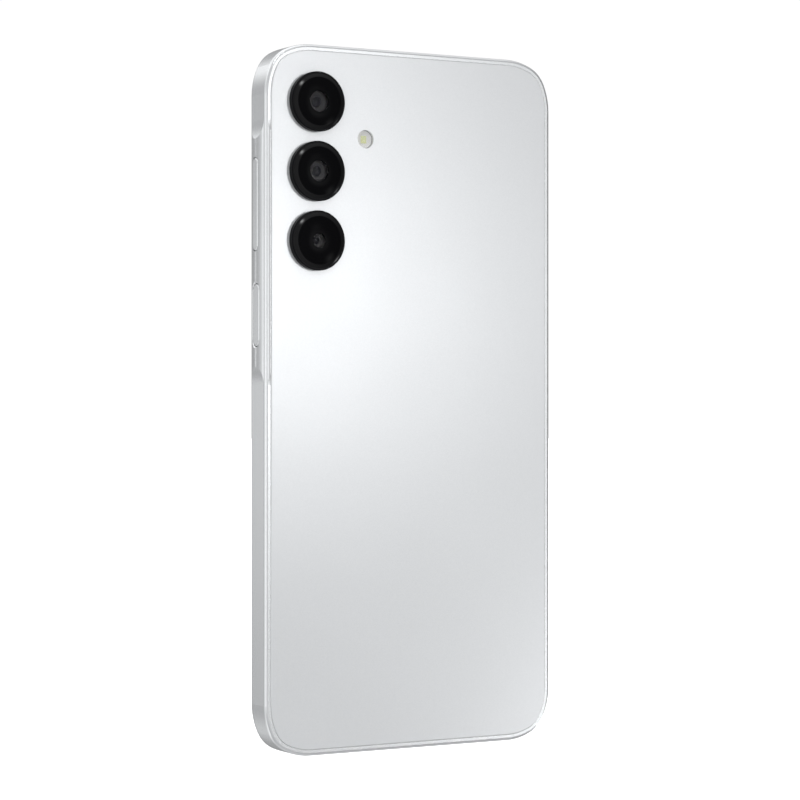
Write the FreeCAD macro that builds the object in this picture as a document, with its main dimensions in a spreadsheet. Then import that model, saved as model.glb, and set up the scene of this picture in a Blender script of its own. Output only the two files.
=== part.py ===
import FreeCAD, Part
import Sketcher
import math
import os
import re

# A slab smartphone, as an assembly of the pieces it comes apart into.
#
# Frame: +X is the side with the keys, to the right when the display is seen.
#        -Y is the display, +Y the back cover with its three camera rings.
#        +Z runs up the length; the origin is the middle of the bottom edge.
# All sizes are in millimetres and live in the spreadsheet "Sizes".

Vector = FreeCAD.Vector

document = FreeCAD.newDocument("Smartphone")
sheet = document.addObject("Spreadsheet::Sheet", "Sizes")
aliases = {}
pieces = {}

DRIVING = {
    # Outer body, and the squircle corner: two wide arcs either side of a tight one
    "body_width": 77.9,
    "body_length": 164.4,
    "body_thickness": 7.9,
    "corner_wide_radius": 16.0,
    "corner_tight_radius": 7.9,
    "corner_wide_angle": 25.0,
    # Side frame section
    "rim_level": 3.72,
    "rim_fillet": 0.75,
    "wall_inset": 2.9,
    "back_opening_inset": 1.4,
    "back_ledge_level": 3.05,
    "front_opening_inset": 1.1,
    "front_ledge_level": 3.2,
    # Key island: a bullnose of elliptical section with hollow ramps at both ends
    "island_centre_x": 37.61,
    "island_half_width": 2.03,
    "island_half_thickness": 3.95,
    "island_bottom": 85.65,
    "island_top": 146.45,
    "ramp_radius": 13.0,
    # Back cover and display glass
    "cover_inset": 1.46,
    "cover_thickness": 0.8,
    "cover_edge_radius": 0.22,
    "front_glass_inset": 1.25,
    "front_glass_thickness": 0.6,
    "front_glass_edge_radius": 0.3,
    "adhesive_width": 1.1,
    # Camera rings, lens glass and flash on the back cover
    "camera_x": 25.9,
    "camera_upper_z": 151.05,
    "camera_pitch": 16.03,
    "ring_radius": 6.95,
    "ring_rise": 1.5,
    "ring_edge": 0.2,
    "ring_neck_radius": 6.25,
    "ring_bore_radius": 4.95,
    "ring_hole_gap": 0.04,
    "lens_seat_rise": 0.9,
    "lens_glass_radius": 6.41,
    "lens_flat_radius": 5.62,
    "lens_rise": 1.83,
    "lens_edge_rise": 1.49,
    "flash_x": 12.7,
    "flash_z": 143.1,
    "flash_radius": 2.1,
    # Keys
    "volume_key_z": 127.15,
    "volume_key_length": 21.3,
    "volume_key_radius": 1.15,
    "power_key_z": 101.7,
    "power_key_length": 14.3,
    "power_key_radius": 1.5,
    "key_gap": 0.15,
    "key_recess": 0.3,
    "key_inner_x": 36.05,
    "volume_key_face_x": 39.72,
    "power_key_face_x": 39.5,
    "key_edge": 0.3,
    # Openings in the side wall
    "usb_width": 8.94,
    "usb_height": 3.26,
    "usb_wall_gap": 0.1,
    "speaker_slot_x": 12.0,
    "speaker_slot_pitch": 3.1,
    "speaker_slot_length": 2.2,
    "speaker_slot_radius": 0.5,
    "speaker_slot_count": 6,
    "microphone_hole_radius": 0.45,
    "lower_microphone_x": -10.5,
    "upper_microphone_x": -14.0,
    # Card tray in the -X side
    "tray_z": 139.0,
    "tray_level": -1.05,
    "tray_cap_length": 17.6,
    "tray_cap_radius": 1.2,
    "tray_cap_depth": 1.3,
    "tray_gap": 0.08,
    "tray_plate_width": 12.6,
    "tray_plate_thickness": 1.1,
    "tray_plate_bottom": 131.7,
    "tray_inner_x": -12.5,
    "eject_hole_z": 146.3,
    "eject_hole_radius": 0.45,
    # Stack of layers inside the body, by their Y level
    "mid_plate_front": -2.45,
    "mid_plate_back": -1.95,
    "board_front": -0.2,
    "board_back": 0.5,
    "board_cover_front": 2.1,
    "board_cover_back": 2.6,
    # Screws
    "screw_radius": 0.6,
    "screw_head_radius": 1.25,
    "screw_head_height": 0.4,
    "screw_boss_radius": 1.5,
    "screw_hole_radius": 0.68,
    # Seats, flexes, port, keys and card tray mechanism
    "cover_seat": 0.1,
    "front_seat": 0.15,
    "earpiece_slit_width": 13.0,
    "earpiece_slit_depth": 0.5,
    "front_camera_z": 157.2,
    "display_flex_x": -20.0,
    "display_flex_z": 27.5,
    "shield_sheet": 0.2,
    "flex_thickness": 0.15,
    "usb_mouth_z": 0.4,
    "usb_depth": 7.2,
    "usb_sheet": 0.3,
    "key_flange_gap": 0.35,
    "key_flange_width": 0.35,
    "key_flange_thickness": 0.7,
    "plunger_length": 0.6,
    "plunger_radius": 0.7,
    "volume_plunger_reach": 6.5,
    "sensor_margin": 0.32,
    "sensor_thickness": 0.2,
    "key_flex_x": 33.9,
    "dome_radius": 1.5,
    "dome_height": 0.4,
    "lever_x": -10.1,
    "lever_z": 141.35,
}


# ---------------------------------------------------------------- spreadsheet

def store(alias, value):
    """Put a plain number in the next row of the sheet and give it its alias."""
    row = len(aliases) + 1
    sheet.set(f"A{row}", alias.replace("_", " "))
    sheet.set(f"B{row}", f"{value:g}")
    sheet.setAlias(f"B{row}", alias)
    aliases[alias] = value
    return alias


def expression(text):
    """Address the sheet's aliases in an expression."""
    def address(found):
        word = found.group()
        return f"Sizes.{word}" if word in aliases else word
    return re.sub(r"[a-z][a-z0-9_]*", address, str(text))


def number(text):
    """The present value of an expression."""
    if sheet.MustExecute or "Touched" in sheet.State:
        document.recompute([sheet])
    return float(sheet.evalExpression(expression(text)))


def bind(target, **properties):
    """Bind properties of an object to expressions; __ stands for a dot."""
    for name, text in properties.items():
        target.setExpression(name.replace("__", "."), expression(text))


def place(target, x="0", y="0", z="0"):
    bind(target, Placement__Base__x=x, Placement__Base__y=y, Placement__Base__z=z)
    return target


def sized(label, **values):
    """Store each plain number as a cell of its own; leave expressions as they are."""
    return {key: value if isinstance(value, str) else store(f"{label}_{key}", value)
            for key, value in values.items()}


# ------------------------------------------------------------------- sketches

PLANES = {"XY": "XY_Plane", "XZ": "XZ_Plane", "YZ": "YZ_Plane"}


def new_body(label):
    body = document.addObject("PartDesign::Body", label)
    body.Label = label
    pieces[label] = body
    return body


def new_sketch(body, plane, offset="0"):
    """A sketch on an origin plane of its own body, moved along the plane's normal.

    The XZ plane's normal is -Y, so there the offset is minus the Y level.
    """
    sketch = body.newObject("Sketcher::SketchObject", f"{body.Name}_sketch")
    origin_plane = next(f for f in body.Origin.OriginFeatures if f.Role == PLANES[plane])
    sketch.AttachmentSupport = [(origin_plane, "")]
    sketch.MapMode = "FlatFace"
    bind(sketch, AttachmentOffset__Base__z=offset)
    return sketch


def constrain(sketch, *arguments, to=None):
    """Add a constraint; with `to`, its value follows that expression."""
    values = [number(to)] if to is not None else []
    if to is not None and arguments[0] == "Angle":
        values = [math.radians(values[0])]
    index = sketch.addConstraint(Sketcher.Constraint(*arguments, *values))
    if to is not None:
        sketch.setExpression(f"Constraints[{index}]", expression(to))
    return index


def add_chain(sketch, curves):
    """Add a closed, tangent chain of lines and counter-clockwise arcs."""
    ids = [sketch.addGeometry(curve, False) for curve in curves]
    for first, second in zip(ids, ids[1:] + ids[:1]):
        constrain(sketch, "Tangent", first, 2, second, 1)
    return ids


def arc(centre, radius, start, end):
    circle = Part.Circle(Vector(centre[0], centre[1], 0), Vector(0, 0, 1), radius)
    return Part.ArcOfCircle(circle, math.radians(start), math.radians(end))


def line(start, end):
    return Part.LineSegment(Vector(start[0], start[1], 0), Vector(end[0], end[1], 0))


def add_body_outline(sketch, inset):
    """The body's outline with its squircle corners, drawn in by `inset` all round."""
    half = number(f"body_width/2 - {inset}")
    low, high = number(inset), number(f"body_length - {inset}")
    wide = number(f"corner_wide_radius - {inset}")
    tight = number(f"corner_tight_radius - {inset}")
    turn = number("corner_wide_angle")
    sine, cosine = math.sin(math.radians(turn)), math.cos(math.radians(turn))
    reach = wide * (sine + 1 - cosine) + tight * (cosine - sine)
    corners = [(half, low, -90), (half, high, 0), (-half, high, 90), (-half, low, 180)]
    curves = []
    for x, z, heading in corners:
        inward_x, inward_z = -math.copysign(1, x), math.copysign(1, number("body_length/2") - z)
        beside_x = (x + inward_x * reach, z + inward_z * wide)
        beside_z = (x + inward_x * wide, z + inward_z * reach)
        first, last = (beside_x, beside_z) if heading in (-90, 90) else (beside_z, beside_x)
        to_tip = math.radians(heading + turn)
        tip = (first[0] + (wide - tight) * math.cos(to_tip),
               first[1] + (wide - tight) * math.sin(to_tip))
        curves.append([arc(first, wide, heading, heading + turn),
                       arc(tip, tight, heading + turn, heading + 90 - turn),
                       arc(last, wide, heading + 90 - turn, heading + 90)])
    chain = []
    for before, after in zip(curves[-1:] + curves[:-1], curves):
        side = line(before[-1].EndPoint, after[0].StartPoint)
        chain += [side, *after]
    ids = add_chain(sketch, chain)
    bottom, right, top, left = ids[0::4]
    for side, kind in ((bottom, "Horizontal"), (right, "Vertical"),
                       (top, "Horizontal"), (left, "Vertical")):
        constrain(sketch, kind, side)
    wide_arcs = ids[1::4] + ids[3::4]
    tight_arcs = ids[2::4]
    for group in (wide_arcs, tight_arcs):
        for other in group[1:]:
            constrain(sketch, "Equal", group[0], other)
    constrain(sketch, "Radius", wide_arcs[0], to=f"corner_wide_radius - {inset}")
    constrain(sketch, "Radius", tight_arcs[0], to=f"corner_tight_radius - {inset}")
    for wide_arc in wide_arcs:
        constrain(sketch, "Angle", wide_arc, to="corner_wide_angle")
    constrain(sketch, "DistanceX", left, 1, right, 1, to=f"body_width - 2*{inset}")
    constrain(sketch, "DistanceY", bottom, 1, top, 1, to=f"body_length - 2*{inset}")
    constrain(sketch, "DistanceX", -1, 1, right, 1, to=f"body_width/2 - {inset}")
    constrain(sketch, "DistanceY", -1, 1, top, 1, to=f"body_length - {inset}")


def add_rounded_rectangle(sketch, x, y, width, height, radius):
    """A rounded rectangle by its centre, sides and corner radius."""
    cx, cy, r = number(x), number(y), number(radius)
    w, h = number(width) / 2, number(height) / 2
    chain = [line((cx - w + r, cy - h), (cx + w - r, cy - h)),
             arc((cx + w - r, cy - h + r), r, -90, 0),
             line((cx + w, cy - h + r), (cx + w, cy + h - r)),
             arc((cx + w - r, cy + h - r), r, 0, 90),
             line((cx + w - r, cy + h), (cx - w + r, cy + h)),
             arc((cx - w + r, cy + h - r), r, 90, 180),
             line((cx - w, cy + h - r), (cx - w, cy - h + r)),
             arc((cx - w + r, cy - h + r), r, 180, 270)]
    ids = add_chain(sketch, chain)
    for side, kind in zip(ids[0::2], ("Horizontal", "Vertical") * 2):
        constrain(sketch, kind, side)
    for other in ids[3::2]:
        constrain(sketch, "Equal", ids[1], other)
    constrain(sketch, "Radius", ids[1], to=radius)
    constrain(sketch, "DistanceX", ids[6], 1, ids[2], 1, to=width)
    constrain(sketch, "DistanceY", ids[0], 1, ids[4], 1, to=height)
    constrain(sketch, "DistanceX", -1, 1, ids[1], 3, to=f"{x} + ({width})/2 - ({radius})")
    constrain(sketch, "DistanceY", -1, 1, ids[3], 3, to=f"{y} + ({height})/2 - ({radius})")


def add_slot(sketch, x, y, length, radius, along="y"):
    """A slot with full-round ends by its centre, overall length and end radius."""
    cx, cy, r = number(x), number(y), number(radius)
    run = number(length) / 2 - r
    if along == "y":
        chain = [arc((cx, cy - run), r, 180, 360), line((cx + r, cy - run), (cx + r, cy + run)),
                 arc((cx, cy + run), r, 0, 180), line((cx - r, cy + run), (cx - r, cy - run))]
    else:
        chain = [arc((cx + run, cy), r, -90, 90), line((cx + run, cy + r), (cx - run, cy + r)),
                 arc((cx - run, cy), r, 90, 270), line((cx - run, cy - r), (cx + run, cy - r))]
    ids = add_chain(sketch, chain)
    constrain(sketch, "Vertical" if along == "y" else "Horizontal", ids[1])
    constrain(sketch, "Equal", ids[0], ids[2])
    constrain(sketch, "Radius", ids[0], to=radius)
    half_run = f"(({length})/2 - ({radius}))"
    if along == "y":
        constrain(sketch, "DistanceY", ids[0], 3, ids[2], 3, to=f"2*{half_run}")
        constrain(sketch, "DistanceX", -1, 1, ids[2], 3, to=x)
        constrain(sketch, "DistanceY", -1, 1, ids[2], 3, to=f"{y} + {half_run}")
    else:
        constrain(sketch, "DistanceX", ids[2], 3, ids[0], 3, to=f"2*{half_run}")
        constrain(sketch, "DistanceX", -1, 1, ids[0], 3, to=f"{x} + {half_run}")
        constrain(sketch, "DistanceY", -1, 1, ids[0], 3, to=y)


def add_circle(sketch, x, y, radius):
    centre = Vector(number(x), number(y), 0)
    index = sketch.addGeometry(Part.Circle(centre, Vector(0, 0, 1), number(radius)), False)
    constrain(sketch, "Radius", index, to=radius)
    constrain(sketch, "DistanceX", -1, 1, index, 3, to=x)
    constrain(sketch, "DistanceY", -1, 1, index, 3, to=y)


def add_ellipse(sketch, x, y, half_width, half_height):
    """An upright ellipse: its long axis runs along the sketch's y."""
    cx, cy, a, b = number(x), number(y), number(half_width), number(half_height)
    ellipse = Part.Ellipse(Vector(cx, cy + b, 0), Vector(cx - a, cy, 0), Vector(cx, cy, 0))
    index = sketch.addGeometry(ellipse, False)
    sketch.exposeInternalGeometry(index)
    long_axis, short_axis = index + 1, index + 2
    constrain(sketch, "Vertical", long_axis)
    constrain(sketch, "Distance", long_axis, to=f"2*{half_height}")
    constrain(sketch, "Distance", short_axis, to=f"2*{half_width}")
    constrain(sketch, "DistanceX", -1, 1, index, 3, to=x)
    constrain(sketch, "DistanceY", -1, 1, index, 3, to=y)


def add_polygon(sketch, points):
    """A closed polygon whose corners sit at pairs of expressions."""
    values = [(number(x), number(y)) for x, y in points]
    ids = [sketch.addGeometry(line(a, b), False)
           for a, b in zip(values, values[1:] + values[:1])]
    for first, second in zip(ids, ids[1:] + ids[:1]):
        constrain(sketch, "Coincident", first, 2, second, 1)
    for index, (x, y) in zip(ids, points):
        constrain(sketch, "DistanceX", -1, 1, index, 1, to=x)
        constrain(sketch, "DistanceY", -1, 1, index, 1, to=y)


# ------------------------------------------------------------------- features

def pad(body, sketch, length, reverse=False):
    feature = body.newObject("PartDesign::Pad", f"{body.Name}_pad")
    feature.Profile = sketch
    feature.Reversed = reverse
    bind(feature, Length=length)
    return settle(body, feature)


def pocket(body, sketch, length, reverse=False, taper=None):
    """Cut a sketch into the body, against the sketch's normal unless reversed."""
    before = body.Shape.Volume
    feature = body.newObject("PartDesign::Pocket", f"{body.Name}_pocket")
    feature.Profile = sketch
    feature.Reversed = reverse
    bind(feature, Length=length)
    if taper is not None:
        bind(feature, TaperAngle=taper)
    settle(body, feature)
    if body.Shape.Volume > before - 1e-4:
        raise RuntimeError(f"a pocket of {body.Label} cuts nothing")
    return feature


def turn_profile(body, sketch):
    """Revolve a sketch drawn on the XY plane about its vertical axis."""
    feature = body.newObject("PartDesign::Revolution", f"{body.Name}_turned")
    feature.Profile = sketch
    feature.ReferenceAxis = (sketch, ["V_Axis"])
    feature.Angle = 360
    return settle(body, feature)


def dress(body, kind, amount, chosen):
    """A fillet or chamfer along the edges for which chosen(edge) is true."""
    base = body.Tip
    names = [f"Edge{i}" for i, edge in enumerate(base.Shape.Edges, 1) if chosen(edge)]
    if not names:
        raise RuntimeError(f"no edge of {body.Label} to {kind}")
    feature = body.newObject(f"PartDesign::{kind}", f"{body.Name}_{kind.lower()}")
    feature.Base = (base, names)
    bind(feature, **{"Radius" if kind == "Fillet" else "Size": amount})
    return settle(body, feature)


def settle(body, feature):
    body.Tip = feature
    document.recompute([body])
    if not feature.isValid():
        raise RuntimeError(f"{feature.Name} of {body.Label} failed")
    return feature


def edge_at_level(level, tolerance=1e-4):
    """Chooser for edges that lie wholly at one Y level."""
    def chosen(edge):
        box = edge.BoundBox
        return abs(box.YMin - level) < tolerance and abs(box.YMax - level) < tolerance
    return chosen


def named(label, feature):
    feature.Label = label
    pieces[label] = feature
    return feature


def block(label, width, thickness, length, left, front, bottom, keep=True):
    """A plain block: width along X, thickness along Y, length along Z."""
    size = sized(label, width=width, thickness=thickness, length=length,
                 left=left, front=front, bottom=bottom)
    box = document.addObject("Part::Box", label)
    bind(box, Length=size["width"], Width=size["thickness"], Height=size["length"])
    place(box, size["left"], size["front"], size["bottom"])
    return named(label, box) if keep else box


def rod(label, radius, length, x, y, z, axis="Y", keep=True):
    """A round bar that starts at (x, y, z) and runs along +X, +Y or +Z."""
    size = sized(label, radius=radius, length=length, x=x, y=y, z=z)
    turn = {"X": (Vector(0, 1, 0), 90), "Y": (Vector(1, 0, 0), -90), "Z": (Vector(0, 0, 1), 0)}
    bar = document.addObject("Part::Cylinder", label)
    bind(bar, Radius=size["radius"], Height=size["length"])
    bar.Placement = FreeCAD.Placement(Vector(), FreeCAD.Rotation(*turn[axis]))
    place(bar, size["x"], size["y"], size["z"])
    return named(label, bar) if keep else bar


def joined(label, parts, keep=True):
    fusion = document.addObject("Part::MultiFuse", label)
    fusion.Shapes = parts
    fusion.Refine = True
    return named(label, fusion) if keep else fusion


def group(label, parts):
    """Separate solids that share one node."""
    compound = document.addObject("Part::Compound", label)
    compound.Links = parts
    return named(label, compound)


def cut(label, base, tools, keep=True):
    """Take the tools away from the base, which stops being a piece of its own."""
    tool = tools[0] if len(tools) == 1 else joined(f"{label}_tools", tools, keep=False)
    result = document.addObject("Part::Cut", f"{label}_cut")
    result.Base = base
    result.Tool = tool
    document.recompute([result])
    if result.Shape.Volume > base.Shape.Volume - 1e-4:
        raise RuntimeError(f"{label}: the cut takes nothing away")
    return named(label, result) if keep else result


def plate(label, thickness, front, outline, holes=()):
    """A flat piece parallel to the display, from its front Y level backwards."""
    body = new_body(label)
    size = sized(label, thickness=thickness, front=front)
    sketch = new_sketch(body, "XZ", f"-({size['front']})")
    outline(sketch)
    for hole in holes:
        hole(sketch)
    pad(body, sketch, size["thickness"], reverse=True)
    return body


def body_outline(inset):
    return lambda sketch: add_body_outline(sketch, inset)


def rectangle(x, z, width, height, radius):
    return lambda sketch: add_rounded_rectangle(sketch, x, z, width, height, radius)


def circle(x, z, radius):
    return lambda sketch: add_circle(sketch, x, z, radius)


for name, value in DRIVING.items():
    store(name, value)
document.recompute()


# ----------------------------------------------------------------- side frame

def make_side_frame():
    """The moulded ring all round, with the key island and every wall opening."""
    body = new_body("side_frame")
    rim = number("rim_level")
    sketch = new_sketch(body, "XZ", "-rim_level")
    add_body_outline(sketch, "0")
    pad(body, sketch, "2*rim_level")
    for level in (rim, -rim):
        at_level = edge_at_level(level)
        dress(body, "Fillet", "rim_fillet", at_level)

    sketch = new_sketch(body, "XY", "island_bottom")
    add_ellipse(sketch, "island_centre_x", "0", "island_half_width", "island_half_thickness")
    pad(body, sketch, "island_top - island_bottom")
    ends = ("island_bottom", "island_top")
    sketch = new_sketch(body, "XZ", "-body_thickness")
    for end in ends:
        add_circle(sketch, "body_width/2 + ramp_radius", end, "ramp_radius")
    pocket(body, sketch, "2*body_thickness", reverse=True)
    sketch = new_sketch(body, "YZ", "body_width/2 + 2")
    for end in ends:
        for side in ("", "-"):
            add_circle(sketch, f"{side}(rim_level + ramp_radius)", end, "ramp_radius")
    pocket(body, sketch, "6")

    sketch = new_sketch(body, "XZ", "-(body_thickness/2 + 0.1)")
    add_body_outline(sketch, "back_opening_inset")
    pocket(body, sketch, "body_thickness/2 + 0.1 - back_ledge_level", reverse=True)
    sketch = new_sketch(body, "XZ", "body_thickness/2 + 0.1")
    add_body_outline(sketch, "front_opening_inset")
    pocket(body, sketch, "body_thickness/2 + 0.1 - front_ledge_level")
    sketch = new_sketch(body, "XZ", "-body_thickness")
    add_body_outline(sketch, "wall_inset")
    pocket(body, sketch, "2*body_thickness", reverse=True)

    # Key slots, the power key's with a shallow recess round it
    sketch = new_sketch(body, "YZ", "body_width/2 + 2")
    add_slot(sketch, "0", "volume_key_z", "volume_key_length + 2*key_gap",
             "volume_key_radius + key_gap")
    add_slot(sketch, "0", "power_key_z", "power_key_length + 2*key_gap",
             "power_key_radius + key_gap")
    pocket(body, sketch, "2 + wall_inset + 1")
    sketch = new_sketch(body, "YZ", "island_centre_x + island_half_width")
    add_slot(sketch, "0", "power_key_z", "power_key_length + 2*(key_gap + key_recess)",
             "power_key_radius + key_gap + key_recess")
    pocket(body, sketch, "key_recess", taper="-45")

    # Card tray opening in the opposite side: a wide mouth, then the plate's slot
    sketch = new_sketch(body, "YZ", "-(body_width/2 + 1)")
    add_slot(sketch, "tray_level", "tray_z", "tray_cap_length + 2*tray_gap",
             "tray_cap_radius + tray_gap")
    pocket(body, sketch, "1 + tray_cap_depth + tray_gap", reverse=True)
    sketch = new_sketch(body, "YZ", "-(body_width/2 + 1)")
    add_rounded_rectangle(sketch, "tray_level", "tray_plate_bottom + tray_plate_width/2",
                          "tray_plate_thickness + 4*tray_gap",
                          "tray_plate_width + 4*tray_gap", "tray_gap*2")
    add_circle(sketch, "tray_level", "eject_hole_z", "eject_hole_radius + 0.15")
    pocket(body, sketch, "1 + wall_inset + 1", reverse=True)

    # Bottom edge: port, loudspeaker slots and microphone hole
    sketch = new_sketch(body, "XY", "-1")
    add_slot(sketch, "0", "0", "usb_width + 2*usb_wall_gap", "usb_height/2 + usb_wall_gap", "x")
    for index in range(int(number("speaker_slot_count"))):
        add_slot(sketch, f"speaker_slot_x + {index}*speaker_slot_pitch", "0",
                 "speaker_slot_length", "speaker_slot_radius", "x")
    add_circle(sketch, "lower_microphone_x", "0", "microphone_hole_radius")
    pocket(body, sketch, "1 + wall_inset + 1", reverse=True)

    # Top edge: second microphone
    sketch = new_sketch(body, "XY", "body_length + 1")
    add_circle(sketch, "upper_microphone_x", "0", "microphone_hole_radius")
    pocket(body, sketch, "1 + wall_inset + 1")


make_side_frame()


# ------------------------------------------------------- covers and the glass

COVER_BACK = "(body_thickness/2)"
COVER_FRONT = "(body_thickness/2 - cover_thickness)"
GLASS_BACK = "(front_glass_thickness - body_thickness/2)"
CAMERA_HEIGHTS = {
    "upper": "camera_upper_z",
    "middle": "(camera_upper_z - camera_pitch)",
    "lower": "(camera_upper_z - 2*camera_pitch)",
}


def is_straight(edge):
    return edge.Curve.TypeId == "Part::GeomLine"


def soften_outline(body, level, radius):
    """Round the outer edge at one Y level; the corners follow as a tangent chain."""
    at_level = edge_at_level(number(level))
    dress(body, "Fillet", radius, lambda edge: at_level(edge) and is_straight(edge)
          and edge.Length > 20)


def make_covers():
    cover = new_body("back_cover")
    sketch = new_sketch(cover, "XZ", f"-{COVER_BACK}")
    add_body_outline(sketch, "cover_inset")
    for height in CAMERA_HEIGHTS.values():
        add_circle(sketch, "camera_x", height, "ring_neck_radius + ring_hole_gap")
    add_circle(sketch, "flash_x", "flash_z", "flash_radius + ring_hole_gap")
    pad(cover, sketch, "cover_thickness")
    soften_outline(cover, COVER_BACK, "cover_edge_radius")

    glass = new_body("front_glass")
    sketch = new_sketch(glass, "XZ", f"-{GLASS_BACK}")
    add_body_outline(sketch, "front_glass_inset")
    pad(glass, sketch, "front_glass_thickness")
    soften_outline(glass, f"-{COVER_BACK}", "front_glass_edge_radius")
    sketch = new_sketch(glass, "XZ", "body_thickness")
    add_rounded_rectangle(sketch, "0", "body_length - front_glass_inset",
                          "earpiece_slit_width", "2*earpiece_slit_depth",
                          "earpiece_slit_depth/2")
    pocket(glass, sketch, "body_thickness")

    plate("cover_adhesive", "cover_seat", "back_ledge_level",
          body_outline("(cover_inset + 0.15)"),
          [body_outline("(cover_inset + 0.15 + adhesive_width)")])
    plate("front_adhesive", "front_seat", GLASS_BACK,
          body_outline("(front_glass_inset + 0.2)"),
          [body_outline("(front_glass_inset + 0.2 + adhesive_width)")])
    plate("display_panel", 0.75, GLASS_BACK, body_outline("(wall_inset + 0.1)"))
    block("earpiece_mesh", "earpiece_slit_width - 0.2", 0.35, "earpiece_slit_depth - 0.06",
          "-(earpiece_slit_width/2 - 0.1)", -3.85,
          "body_length - front_glass_inset - earpiece_slit_depth + 0.03")


# ------------------------------------------------------------ camera and flash

def turned(label, points, x, z):
    """A piece turned about an axis along Y, from corners given as radius and level."""
    body = new_body(label)
    sketch = new_sketch(body, "XY")
    add_polygon(sketch, points)
    turn_profile(body, sketch)
    place(body, x, "0", z)
    return body


def make_camera_rings():
    """Three bezels on the cover, each with a domeless glass bevelled all round."""
    seat = f"{COVER_BACK} + lens_seat_rise"
    top = f"{COVER_BACK} + ring_rise"
    for name, height in CAMERA_HEIGHTS.items():
        turned(f"camera_ring_{name}",
               [("ring_bore_radius", COVER_FRONT), ("ring_neck_radius", COVER_FRONT),
                ("ring_neck_radius", COVER_BACK), ("ring_radius", COVER_BACK),
                ("ring_radius", f"{top} - ring_edge"), ("ring_radius - ring_edge", top),
                ("lens_glass_radius + 0.02", top), ("lens_glass_radius + 0.02", seat),
                ("ring_bore_radius", seat)], "camera_x", height)
        turned(f"camera_glass_{name}",
               [("0", seat), ("lens_glass_radius", seat),
                ("lens_glass_radius", f"{COVER_BACK} + lens_edge_rise"),
                ("lens_flat_radius", f"{COVER_BACK} + lens_rise"),
                ("0", f"{COVER_BACK} + lens_rise")], "camera_x", height)
    turned("flash_window",
           [("0", COVER_FRONT), ("flash_radius", COVER_FRONT),
            ("flash_radius", f"{COVER_BACK} - 0.02"),
            ("flash_radius - 0.12", f"{COVER_BACK} + 0.05"),
            ("0", f"{COVER_BACK} + 0.08")], "flash_x", "flash_z")
    block("flash_led", 3.4, 0.5, 3.4, "flash_x - flash_led_width/2", "board_cover_back",
          "flash_z - flash_led_length/2")


def make_cameras():
    side, top = "main_camera_side", "(camera_upper_z)"
    store(side, 10.5)
    housing = block("main_camera_block", side, 4.9, side, f"camera_x - {side}/2", -1.9,
                    f"{top} - {side}/2", keep=False)
    bore = rod("main_camera_bore", 3.35, 5.0, "camera_x", -1.2, top, keep=False)
    cut("main_camera_housing", housing, [bore])
    barrel = rod("barrel_outside", 3.2, 5.2, "camera_x", -0.8, top, keep=False)
    mouth = rod("barrel_mouth", 2.45, 0.6, "camera_x", 4.0, top, keep=False)
    cut("main_camera_barrel", barrel, [mouth])
    for name, height, width, radius in (("wide_camera", "middle", 8.8, 3.0),
                                        ("macro_camera", "lower", 6.6, 2.2)):
        centre = CAMERA_HEIGHTS[height]
        case = block(f"{name}_case", width, 4.8, f"{name}_case_width",
                     f"camera_x - {name}_case_width/2", -1.9,
                     f"{centre} - {name}_case_width/2", keep=False)
        lens = rod(f"{name}_lens", radius, 1.6, "camera_x", 2.8, centre, keep=False)
        mouth = rod(f"{name}_mouth", f"{name}_lens_radius - 0.7", 0.5, "camera_x", 4.0, centre,
                    keep=False)
        cut(name, joined(f"{name}_solid", [case, lens], keep=False), [mouth])
    case = block("front_camera_case", 6.0, 3.2, 6.0, "-front_camera_case_width/2", -1.9,
                 "front_camera_z - front_camera_case_width/2", keep=False)
    lens = rod("front_camera_lens", 1.6, 0.7, "0", -2.55, "front_camera_z", keep=False)
    joined("front_camera", [case, lens])


# ----------------------------------------------------- mid plate, boards, screws

MAIN_SCREWS = ((-32.5, 118.0), (-31.5, 152.0), (13.5, 118.0), (13.8, 157.2))
LOWER_SCREWS = ((-26.0, 7.6), (-14.0, 11.0), (5.4, 23.4))


def screw_cells():
    """The screw places, as cells of the sheet."""
    places = {}
    for name, screws in (("main", MAIN_SCREWS), ("lower", LOWER_SCREWS)):
        places[name] = [(store(f"{name}_screw_{i}_x", x), store(f"{name}_screw_{i}_z", z))
                        for i, (x, z) in enumerate(screws, 1)]
    return places


def polygon(points):
    return lambda sketch: add_polygon(sketch, points)


def corners(label, places):
    """Store the corners of a board's outline as cells and give back their names."""
    return [(store(f"{label}_x_{i}", x), store(f"{label}_z_{i}", z))
            for i, (x, z) in enumerate(places, 1)]


def make_mid_plate(screws):
    flat = plate("mid_plate_sheet", "mid_plate_back - mid_plate_front", "mid_plate_front",
                 body_outline("wall_inset"),
                 [circle("0", "front_camera_z", "front_camera_lens_radius + 0.3"),
                  rectangle("display_flex_x", "display_flex_z", "14", "1", "0.4")])
    del pieces["mid_plate_sheet"]
    bosses, holes = [], []
    for name, places in screws.items():
        for i, (x, z) in enumerate(places, 1):
            bosses.append(rod(f"{name}_boss_{i}", "screw_boss_radius",
                              "board_front - mid_plate_back", x, "mid_plate_back", z, keep=False))
            holes.append(rod(f"{name}_thread_{i}", "screw_radius", "board_front - mid_plate_back",
                             x, "mid_plate_back", z, keep=False))
    cut("mid_plate", joined("mid_plate_solid", [flat, *bosses], keep=False), holes)


def make_screws(label, places, seat, tip):
    """Pan-headed screws of one size, standing on a seat level."""
    screws = []
    for i, (x, z) in enumerate(places, 1):
        shank = rod(f"{label}_shank_{i}", "screw_radius", f"{seat} - {tip}", x, tip, z, keep=False)
        head = rod(f"{label}_head_{i}", "screw_head_radius", "screw_head_height",
                   x, seat, z, keep=False)
        drive = rod(f"{label}_drive_{i}", "screw_radius/2", "screw_head_height/2",
                    x, f"{seat} + screw_head_height/2", z, keep=False)
        screws.append(cut(f"{label}_{i}", joined(f"{label}_solid_{i}", [shank, head], keep=False),
                          [drive], keep=False))
    group(label, screws)


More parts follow.
